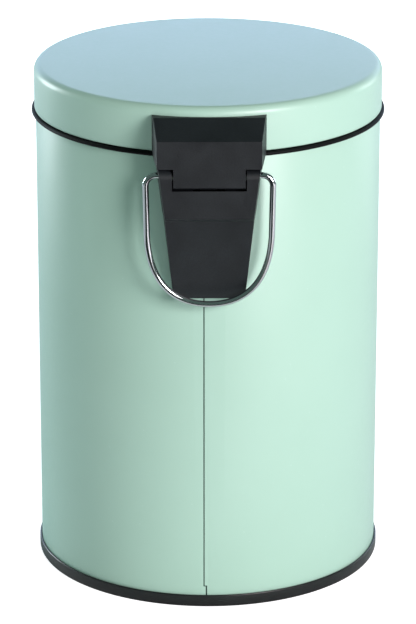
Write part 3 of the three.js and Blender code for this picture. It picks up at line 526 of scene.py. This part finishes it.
# %% Lay the ribs under the floor
def new_geometry_tree(name, sizes):
    tree = bpy.data.node_groups.new(name, "GeometryNodeTree")
    tree.interface.new_socket("Geometry", in_out="INPUT", socket_type="NodeSocketGeometry")
    for label, kind in sizes:
        tree.interface.new_socket(label, in_out="INPUT", socket_type=kind)
    tree.interface.new_socket("Finish", in_out="INPUT", socket_type="NodeSocketMaterial")
    tree.interface.new_socket("Geometry", in_out="OUTPUT", socket_type="NodeSocketGeometry")
    return tree, add(tree, "NodeGroupInput").outputs


def end_tree(tree, geometry, finish):
    real = add(tree, "GeometryNodeRealizeInstances", {"Geometry": geometry})
    coated = add(tree, "GeometryNodeSetMaterial", {
        "Geometry": real.outputs["Geometry"], "Material": finish})
    add(tree, "NodeGroupOutput", {"Geometry": coated.outputs["Geometry"]})


def grown(name, tree, values, base=None):
    shape = base or mesh_object(name, bmesh.new())
    shape.name = name
    step = shape.modifiers.new("grow", "NODES")
    step.node_group = tree
    sockets = {item.name: item.identifier for item in tree.interface.items_tree if item.in_out == "INPUT"}
    for label, value in values.items():
        step[sockets[label]] = value
    return baked(shape)


def rib_tree():
    tree, sizes = new_geometry_tree("ribs round a circle", [
        ("Count", "NodeSocketInt"), ("Middle Radius", "NodeSocketFloat"), ("Bar", "NodeSocketVector"),
        ("Centre", "NodeSocketVector")])
    line = add(tree, "GeometryNodeMeshLine", {"Count": sizes["Count"], "Offset": (0, 0, 0)})
    index = add(tree, "GeometryNodeInputIndex").outputs["Index"]
    part = add(tree, "ShaderNodeMath", {0: index, 1: sizes["Count"]}, operation="DIVIDE")
    turn = add(tree, "ShaderNodeMath", {0: part.outputs[0], 1: math.tau, 2: math.radians(15)},
               operation="MULTIPLY_ADD")
    cosine = add(tree, "ShaderNodeMath", {0: turn.outputs[0]}, operation="COSINE")
    sine = add(tree, "ShaderNodeMath", {0: turn.outputs[0]}, operation="SINE")
    way = add(tree, "ShaderNodeCombineXYZ", {"X": cosine.outputs[0], "Y": sine.outputs[0]})
    out = add(tree, "ShaderNodeVectorMath", {
        0: way.outputs[0], "Scale": sizes["Middle Radius"]}, operation="SCALE")
    place = add(tree, "ShaderNodeVectorMath", {0: out.outputs[0], 1: sizes["Centre"]}, operation="ADD")
    spots = add(tree, "GeometryNodeSetPosition", {
        "Geometry": line.outputs["Mesh"], "Position": place.outputs[0]})
    bar = add(tree, "GeometryNodeMeshCube", {"Size": sizes["Bar"]})
    spin = add(tree, "ShaderNodeCombineXYZ", {"Z": turn.outputs[0]})
    ribs = add(tree, "GeometryNodeInstanceOnPoints", {
        "Points": spots.outputs["Geometry"], "Instance": bar.outputs["Mesh"], "Rotation": spin.outputs[0]})
    end_tree(tree, ribs.outputs["Instances"], sizes["Finish"])
    return tree


RIB_IN, RIB_OUT = 46 * MM, BODY_R - 5.5 * MM
RIB_H = 5 * MM
RIB_T = 1.6 * MM
ribs = grown("base_ribs", rib_tree(), {
    "Count": 12, "Middle Radius": (RIB_IN + RIB_OUT) / 2, "Bar": (RIB_OUT - RIB_IN, RIB_T, RIB_H),
    "Centre": (AXIS.x, AXIS.y, tray_floor - RIB_H / 2 + 0.2 * MM), "Finish": GLOSSY_BLACK})
finish_piece(ribs, "bin", GLOSSY_BLACK, [])

# %% [markdown]
# ## The moulded hinge and the other shaped parts
# The hinge leaf on the lid, the housing on the body, the pad and the levers already have their true shape
# in the CAD model, but its edges are knife sharp. Real mouldings have edges a few tenths of a millimetre
# round, and those edges catch the light. So each of these is a copy of its CAD mesh with its triangles
# merged back to whole faces, a bevel along every real edge, and normals weighted so flats stay flat.

# %% Copy CAD parts and soften their edges
def softened(node, name, radius_mm, segments=3, angle_deg=28):
    bm = bmesh.new()
    bm.from_mesh(nodes[node].data)
    bmesh.ops.remove_doubles(bm, verts=bm.verts, dist=2e-6)
    bmesh.ops.dissolve_limit(bm, angle_limit=math.radians(0.6), verts=bm.verts, edges=bm.edges)
    shape = mesh_object(name, bm)
    shape.data.shade_smooth()
    bevel = shape.modifiers.new("edge radius", "BEVEL")
    bevel.width = radius_mm * MM
    bevel.segments = segments
    bevel.limit_method = "ANGLE"
    bevel.angle_limit = math.radians(angle_deg)
    bevel.use_clamp_overlap = True
    weigh = shape.modifiers.new("flat faces stay flat", "WEIGHTED_NORMAL")
    weigh.keep_sharp = True
    return baked(shape)


SHAPED = [
    ("lid_leaf", "hinge_leaf", 0.45, "lid", BLACK, "black_plastic"),
    ("hinge_housing", "hinge_housing_shell", 0.45, "bin", BLACK, "black_plastic"),
    ("rod_guide", "rod_guide_block", 0.3, "bin", GLOSSY_BLACK, "black_plastic"),
    ("push_rod", "push_rod_bar", 0.3, "rod", ZINC, "zinc_steel"),
    ("push_rod_cap", "push_rod_head", 0.25, "rod", GLOSSY_BLACK, "black_plastic"),
    ("pedal_lever", "pedal_strap", 0.3, "pedal", ZINC, "zinc_steel"),
    ("pedal_pad", "pedal_tread", 0.3, "pedal", BLACK, "black_plastic"),
    ("pedal_pin", "pedal_pivot_pin", 0.3, "bin", ZINC, "zinc_steel"),
    ("pedal_clip_left", "pivot_clip_left", 0.2, "bin", ZINC, "zinc_steel"),
    ("pedal_clip_right", "pivot_clip_right", 0.2, "bin", ZINC, "zinc_steel"),
    ("hinge_pin", "hinge_pin_bar", 0.2, "bin", ZINC, "zinc_steel"),
]
for node, name, radius, rides_on, finish, slot_name in SHAPED:
    finish_piece(softened(node, name, radius), rides_on, finish, [node], sharp_deg=50)

# %% [markdown]
# ## Lugs for the pedal's pin
# Two lugs hang from the tray's floor, one on each side of the lever's boss, and hold the pivot pin. They
# are plain blocks with a bore, so two boxes and one round cutter make them.

# %% Make the two lugs
def round_bar_x(centre, radius, half, sides=48):
    bm = bmesh.new()
    turn = Matrix.Translation(centre) @ Matrix.Rotation(math.pi / 2, 4, "Y")
    bmesh.ops.create_cone(bm, cap_ends=True, segments=sides, radius1=radius, radius2=radius,
                          depth=2 * half, matrix=turn)
    return mesh_object("cutter", bm)


pin_low, pin_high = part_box("pedal_pin")
clip_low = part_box("pedal_clip_right")[0]
pin_centre = (pin_low + pin_high) / 2
pin_r = (pin_high.z - pin_low.z) / 2
LUG_T = 3 * MM
LUG_HALF = 6 * MM
for side, word in ((-1, "left"), (1, "right")):
    middle = side * (clip_low.x - GAP - LUG_T / 2)
    lug = block((middle - LUG_T / 2, pin_centre.y - LUG_HALF, pin_centre.z - LUG_HALF),
                (middle + LUG_T / 2, pin_centre.y + LUG_HALF, tray_floor + 0.3 * MM))
    lug.name = "pivot_lug_" + word
    lug = cut(lug, [round_bar_x(pin_centre, pin_r + GAP, 40 * MM)])
    finish_piece(lug, "bin", GLOSSY_BLACK, [])

# %% [markdown]
# ## Screws by Geometry Nodes
# Six small pan-head screws hold the housing and the leaf, driven from inside the bin. One screw is modelled
# with its cross recess, and a tree sets a copy on each given point. The points are the CAD screws' places.

# %% Model one screw and place it
def ring_of_points(bm, r, y, sides):
    points = []
    for i in range(1 if r == 0 else sides):
        angle = math.tau * i / sides
        points.append(bm.verts.new((r * math.cos(angle), y, r * math.sin(angle))))
    return points


def pan_screw(length, head_r, head_h, shank_r, sides=24, pitch=0.7 * MM):
    bm = bmesh.new()
    profile = [(0, -head_h), (head_r * 0.55, -head_h * 0.98), (head_r * 0.85, -head_h * 0.75),
               (head_r, -head_h * 0.35), (head_r, 0), (shank_r, 0)]
    for i in range(int((length - 1.5 * MM) / pitch)):
        y = 0.4 * MM + i * pitch
        profile += [(shank_r * 0.8, y), (shank_r, y + pitch / 2)]
    profile += [(shank_r * 0.8, length - 0.8 * MM), (0, length)]
    rings = [ring_of_points(bm, r, y, sides) for r, y in profile]
    for a, b in zip(rings, rings[1:]):
        for i in range(sides):
            k = (i + 1) % sides
            corners = [a[i % len(a)], a[k % len(a)], b[k % len(b)], b[i % len(b)]]
            bm.faces.new(list(dict.fromkeys(corners)))
    screw = mesh_object("pan_screw", bm)
    arm, half = head_r * 0.5, 0.28 * MM
    slots = []
    for x, z in ((arm, half), (half, arm)):
        slots.append(block((-x, -head_h - MM, -z), (x, -head_h * 0.35, z)))
    return cut(screw, slots)


def on_points_tree():
    tree, sizes = new_geometry_tree("one part on each point", [("Part", "NodeSocketObject")])
    part = add(tree, "GeometryNodeObjectInfo", {"Object": sizes["Part"]})
    copies = add(tree, "GeometryNodeInstanceOnPoints", {
        "Points": sizes["Geometry"], "Instance": part.outputs["Geometry"]})
    end_tree(tree, copies.outputs["Instances"], sizes["Finish"])
    return tree


ON_POINTS = on_points_tree()
for group, rides_on in (("housing_screw", "bin"), ("lid_screw", "lid")):
    names = sorted(n for n in nodes if n.startswith(group))
    low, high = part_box(names[0])
    head_r = (high.z - low.z) / 2
    head_h, shank_r = 1.4 * MM, 1.5 * MM
    template = pan_screw(high.y - low.y - head_h, head_r, head_h, shank_r)
    bm = bmesh.new()
    for name in names:
        low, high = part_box(name)
        bm.verts.new(((low.x + high.x) / 2, low.y + head_h, (low.z + high.z) / 2))
    spots = mesh_object(group + "s", bm)
    screws = grown(group + "s", ON_POINTS, {"Part": template, "Finish": ZINC}, spots)
    bpy.data.objects.remove(template)
    finish_piece(screws, rides_on, ZINC, names)

# %% [markdown]
# ## Bent wire by Geometry Nodes
# The carry handle and the bucket's bail are wire bent to a path. The path is drawn as a Bezier curve with
# only the points that the bends need, and a small tree sweeps a circle along it and caps the ends. The
# handle's ends turn inwards into sockets in the housing, and its legs drop to a wide half oval below.

# %% Sweep the handle
def wire_tree():
    tree, sizes = new_geometry_tree("wire along a path", [
        ("Radius", "NodeSocketFloat"), ("Sides", "NodeSocketInt")])
    ring = add(tree, "GeometryNodeCurvePrimitiveCircle", {
        "Resolution": sizes["Sides"], "Radius": sizes["Radius"]})
    tube = add(tree, "GeometryNodeCurveToMesh", {
        "Curve": sizes["Geometry"], "Profile Curve": ring.outputs["Curve"], "Fill Caps": True})
    end_tree(tree, tube.outputs["Mesh"], sizes["Finish"])
    return tree


def bezier_path(name, points, resolution=20):
    curve = bpy.data.curves.new(name, "CURVE")
    curve.dimensions = "3D"
    curve.resolution_u = resolution
    spline = curve.splines.new("BEZIER")
    spline.bezier_points.add(len(points) - 1)
    for knot, (before, here, after) in zip(spline.bezier_points, points):
        knot.handle_left_type = knot.handle_right_type = "FREE"
        knot.co, knot.handle_left, knot.handle_right = here, before, after
    shape = bpy.data.objects.new(name, curve)
    bpy.context.scene.collection.objects.link(shape)
    return shape


def swept(name, path, radius, sides, finish):
    return grown(name, WIRE, {"Radius": radius, "Sides": sides, "Finish": finish}, path)


WIRE = wire_tree()
joints = {joint["name"]: joint for joint in frame["joints"]}
pivot = Vector(joints["handle_swing"]["pos_m"])
low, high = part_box("carry_handle")
wire_r = high.z - pivot.z
half = high.x - wire_r
hang = Vector((0, high.y - pivot.y - wire_r, low.z - pivot.z + wire_r))
drop = hang.length
hang.normalize()
PIN_END = 21.3 * MM
NARROWS = 0.4 * MM
LEG = 25.7 * MM
BEND = 5 * MM
SHORT = 0.3 * MM
FULLNESS = 0.646
ease = BEND * 0.45
deep = drop - LEG
low_half = half - NARROWS
left_half = [
    ((-PIN_END, 0), (-PIN_END, 0), (-(PIN_END + SHORT), 0)),
    ((-(half - BEND - SHORT), 0), (-(half - BEND), 0), (-(half - ease), 0)),
    ((-half, ease), (-half, BEND), (-(half - NARROWS / 3), BEND + (LEG - BEND) / 3)),
    ((-(half - NARROWS * 0.7), LEG * 0.7), (-low_half, LEG), (-low_half, LEG + FULLNESS * deep)),
]
bottom = ((-FULLNESS * low_half, drop), (0, drop), (FULLNESS * low_half, drop))
right_half = [tuple((-x, d) for x, d in knot[::-1]) for knot in left_half[::-1]]
knots = [tuple(pivot + Vector((x, 0, 0)) + hang * d for x, d in knot)
         for knot in left_half + [bottom] + right_half]
handle = swept("wire_handle", bezier_path("path", knots), wire_r, 24, CHROME)
finish_piece(handle, "handle", CHROME, ["carry_handle"], sharp_deg=60)

# %% Sweep the bail, its ends and its grip
BUCKET_RIM_W = 2.7 * MM
BUCKET_WALL = 1.5 * MM
BAIL_CLEAR = 1.2 * MM
bail_pivot = Vector(joints["bail_swing"]["pos_m"])
low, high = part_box("bucket_bail")
bail_r = (high.z - low.z) / 2
grip_low, grip_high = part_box("bail_grip")
reach = bail_pivot.y - low.y - bail_r
span = bucket_high.x - BUCKET_RIM_W - BUCKET_WALL - bail_r - BAIL_CLEAR
OVAL = 0.5523
flat = [((-span, 0.0), (-span, 0.0), (-span, -OVAL * reach)),
        ((-OVAL * span, -reach), (0, -reach), (OVAL * span, -reach)),
        ((span, -OVAL * reach), (span, 0.0), (span, 0.0))]
knots = [tuple(bail_pivot + Vector((x, y, 0)) for x, y in knot) for knot in flat]
bail = swept("bail_wire", bezier_path("path", knots, 48), bail_r, 20, ZINC)
finish_piece(bail, "bail", ZINC, ["bucket_bail"], sharp_deg=60)
for side, word in ((-1, "left"), (1, "right")):
    middle = bail_pivot + Vector((side * (span + high.x) / 2, 0, 0))
    stub = round_bar_x(middle, bail_r, (high.x - span) / 2, 20)
    stub.name = "bail_end_" + word
    finish_piece(stub, "bail", ZINC, [])

GRIP_DEG = 13.6
steps = 12
grip_path = []
for i in range(steps + 1):
    angle = math.radians(-90 + GRIP_DEG * (2 * i / steps - 1))
    grip_path.append(bail_pivot + Vector((span * math.cos(angle), reach * math.sin(angle), 0)))
curve = bpy.data.curves.new("grip path", "CURVE")
curve.dimensions = "3D"
spline = curve.splines.new("POLY")
spline.points.add(steps)
for point, place in zip(spline.points, grip_path):
    point.co = (*place, 1)
path = bpy.data.objects.new("grip path", curve)
bpy.context.scene.collection.objects.link(path)
grip_r = (grip_high.z - grip_low.z) / 2
grip = swept("bail_grip_tube", path, grip_r, 28, BLACK)
finish_piece(grip, "bail", BLACK, ["bail_grip"], sharp_deg=60)

# %% [markdown]
# ## The inner bucket
# The bucket that lifts out is moulded in grey polypropylene: a tapered wall, a turned-out rim to hold it
# by, a foot ring, two shallow beads that stiffen the wall, and a small ledge that the bail's grip rests on.

# %% Turn the bucket and add the ledge
BUCKET_TAPER = 6.5 * MM
FOOT_W = 6 * MM
FOOT_H = 1.2 * MM
BUCKET_FLOOR = 2.7 * MM
BEAD_OUT = 0.7 * MM
BEAD_SHARES = (0.62, 0.82)
top_r = BUCKET_R - BUCKET_RIM_W
foot_r = top_r - BUCKET_TAPER
rise = bucket_high.z - bucket_low.z


def wall_r(z):
    return foot_r + BUCKET_TAPER * (z - bucket_low.z) / rise


outer = [(0, bucket_low.z + FOOT_H, 0), (foot_r - FOOT_W, bucket_low.z + FOOT_H, 0.6 * MM),
         (foot_r - FOOT_W, bucket_low.z, 0.6 * MM), (foot_r, bucket_low.z, 2.5 * MM)]
for share in BEAD_SHARES:
    z = bucket_low.z + rise * share
    bead_r = wall_r(z) + BEAD_OUT
    outer += [(wall_r(z), z, 0.6 * MM), (bead_r, z + 0.8 * MM, 0.6 * MM),
              (bead_r, z + 2.2 * MM, 0.6 * MM), (wall_r(z) + 0.1 * MM, z + 3 * MM, 0.6 * MM)]
under_rim = bucket_high.z - BUCKET_WALL
outer += [(wall_r(under_rim), under_rim, 0.4 * MM), (BUCKET_R, under_rim, 0.6 * MM),
          (BUCKET_R, bucket_high.z, 0.7 * MM), (top_r - BUCKET_WALL, bucket_high.z, 1.0 * MM)]
floor_z = bucket_low.z + BUCKET_FLOOR
inner = [(foot_r - BUCKET_WALL, floor_z, 2.0 * MM), (0, floor_z, 0)]
bucket = turned("bucket_wall", rounded(outer + inner, closed=False, steps=4), closed=False, segments=180)
bucket = cut(bucket, [round_bar_x(bail_pivot, bail_r + GAP, 90 * MM)])
finish_piece(bucket, "bin", BUCKET, ["inner_bucket"])

LEDGE_HALF = 4 * MM
LEDGE_T = 2 * MM
ledge_top = grip_low.z - GAP
ledge = block((-LEDGE_HALF, AXIS.y - wall_r(ledge_top) + BUCKET_WALL / 2, ledge_top - LEDGE_T),
              (LEDGE_HALF, bail_pivot.y - reach + 3 * MM, ledge_top))
ledge.name = "grip_ledge"
bevel = ledge.modifiers.new("edge radius", "BEVEL")
bevel.width = 0.4 * MM
bevel.segments = 3
finish_piece(baked(ledge), "bin", BUCKET, [])

# %% [markdown]
# ## Floor
# The bin stands on white paper that runs on past the camera's view. Paper under soft light comes out grey,
# and more light on it would wash out the mint. So a clear film that glows a little lies over the paper, as a
# backlit table does, and only the camera sees it: it lights nothing and shows in no reflection. The film is
# cut away under the bin, or it would shine through the pedal's slot.

# %% Lay the floor
def pale_floor():
    finish, tree, shader, place = new_finish("matt studio paper, white")
    fibre = add(tree, "ShaderNodeTexNoise", {"Vector": place, "Scale": per_mm(3), "Detail": 2.0})
    tone = add(tree, "ShaderNodeMix", {
        "Factor": fibre.outputs["Fac"], 6: hex_colour("#f6f6f6"), 7: hex_colour("#fcfcfc")},
        data_type="RGBA")
    tree.links.new(tone.outputs[2], shader.inputs["Base Color"])
    shader.inputs["Roughness"].default_value = 0.9
    shader.inputs["Specular IOR Level"].default_value = 0.1
    return finish


def backlit_film():
    finish = bpy.data.materials.new("backlit film, clear")
    finish.use_nodes = True
    tree = finish.node_tree
    tree.nodes.clear()
    place = add(tree, "ShaderNodeTexCoord").outputs["Object"]
    cloud = add(tree, "ShaderNodeTexNoise", {"Vector": place, "Scale": per_mm(400), "Detail": 1.0})
    level = add(tree, "ShaderNodeMapRange", {"Value": cloud.outputs["Fac"], "To Min": 0.8, "To Max": 0.84})
    clear = add(tree, "ShaderNodeBsdfTransparent")
    light = add(tree, "ShaderNodeEmission", {
        "Color": hex_colour("#ffffff"), "Strength": level.outputs["Result"]})
    both = add(tree, "ShaderNodeAddShader", {0: clear.outputs[0], 1: light.outputs[0]})
    add(tree, "ShaderNodeOutputMaterial", {"Surface": both.outputs[0]})
    return finish


def staged(sheet, finish):
    sheet.data.materials.append(finish)
    return sheet


def flat_sheet(name, middle, half, finish):
    bm = bmesh.new()
    bmesh.ops.create_grid(bm, x_segments=2, y_segments=2, size=1.0)
    place = Matrix.Translation(middle) @ Matrix.Diagonal((*half, 1, 1))
    bmesh.ops.transform(bm, verts=bm.verts, matrix=place)
    return staged(mesh_object(name, bm), finish)


def seen_only_by(sheet, camera_rays=False, glossy_rays=False):
    sheet.visible_camera = camera_rays
    sheet.visible_glossy = glossy_rays
    sheet.visible_diffuse = False
    sheet.visible_shadow = False
    sheet.visible_transmission = False


FLOOR_HALF = 6.0
FILM_Z = 0.2 * MM
flat_sheet("floor", (0, 0, 0), (FLOOR_HALF, FLOOR_HALF), pale_floor())
film_ring = [Vector((BASE_R - 2 * MM, FILM_Z)), Vector((FLOOR_HALF, FILM_Z))]
film = staged(turned("backlit_film", film_ring, closed=False), backlit_film())
seen_only_by(film, camera_rays=True)
print("floor", 2 * FLOOR_HALF, "m wide")

# %% [markdown]
# ## Lights
# One soft key light stands beside the camera, about 35 degrees round to its right, and gives most of the
# light: the body is brightest right of the hinge, fades to the left, and the hinge throws a broad soft
# shadow that way. Two smaller lights behind the bin catch its edges, as white walls would. A wide blue
# sheet behind gives the flat lid its cool sheen, and a dim green-white sky fills the shadows.

# %% Light the scene
def area_light(name, place, aim, size, power, colour):
    light = bpy.data.lights.new(name, "AREA")
    light.shape = "RECTANGLE"
    light.size, light.size_y = size
    light.energy = power
    light.color = hex_colour(colour)[:3]
    lamp = bpy.data.objects.new(name, light)
    lamp.location = place
    lamp.rotation_euler = (Vector(aim) - Vector(place)).to_track_quat("-Z", "Y").to_euler()
    bpy.context.scene.collection.objects.link(lamp)
    return lamp


ON_BODY = (0, 0, 0.12)
ON_LID = (0, 0, 0.2)
sky = bpy.data.worlds.new("studio")
sky.use_nodes = True
bpy.context.scene.world = sky
background = sky.node_tree.nodes["Background"]
background.inputs["Color"].default_value = hex_colour("#c8f2e4")
background.inputs["Strength"].default_value = 0.17
lamps = [
    area_light("key", (-1.24, 1.83, 0.85), ON_BODY, (0.85, 1.0), 53, "#fdf6f9"),
    area_light("left edge", (1.75, -1.22, 0.5), ON_BODY, (0.6, 0.9), 28, "#eefaff"),
    area_light("right edge", (-1.75, -1.22, 0.5), ON_BODY, (0.6, 0.9), 9, "#eefaff"),
    area_light("back sheet", (0.0, -1.9, 0.75), ON_LID, (3.0, 1.0), 23, "#c6daff"),
]
print("lights, W:", {lamp.name: lamp.data.energy for lamp in lamps})

# %% [markdown]
# ## A dark card for the chrome
# Chrome has no colour of its own: it needs something dark to mirror, or the wire looks like grey plastic.
# A black card lies on the floor in front of the hinge, where only reflections see it. The wire's middle
# mirrors the card and goes dark, while its edges mirror the white paper beside the card and stay bright.

# %% Lay the dark card
CARD_MIDDLE = (0, 1.25, 0.5 * MM)
CARD_HALF = (0.5, 0.95)
card = flat_sheet("black_card", CARD_MIDDLE, CARD_HALF, GLOSSY_BLACK)
seen_only_by(card, glossy_rays=True)
print("card, m:", [2 * length for length in CARD_HALF])

# %% [markdown]
# ## Camera
# A long lens from well back keeps the round body's sides nearly upright. The camera looks at the bin's
# back, almost straight at the hinge, and down from above the lid, so the lid shows as a flat ellipse.

# %% Place the camera
DISTANCE = 1.707
HEIGHT = 0.7145
AIM_HEIGHT = 0.1224
AROUND = 0.0068
camera_data = bpy.data.cameras.new("camera")
camera_data.lens = 209.5
camera_data.sensor_width = 36
camera_data.clip_end = 100
camera = bpy.data.objects.new("camera", camera_data)
offset = Vector((DISTANCE * math.sin(AROUND), DISTANCE * math.cos(AROUND), HEIGHT))
camera.location = AXIS + offset
look = AXIS + Vector((0, 0, AIM_HEIGHT)) - camera.location
camera.rotation_euler = look.to_track_quat("-Z", "Y").to_euler()
bpy.context.scene.collection.objects.link(camera)
bpy.context.scene.camera = camera
bpy.context.scene.view_settings.view_transform = "Standard"
print("camera tilt, degrees:", round(math.degrees(camera.rotation_euler.x), 1))
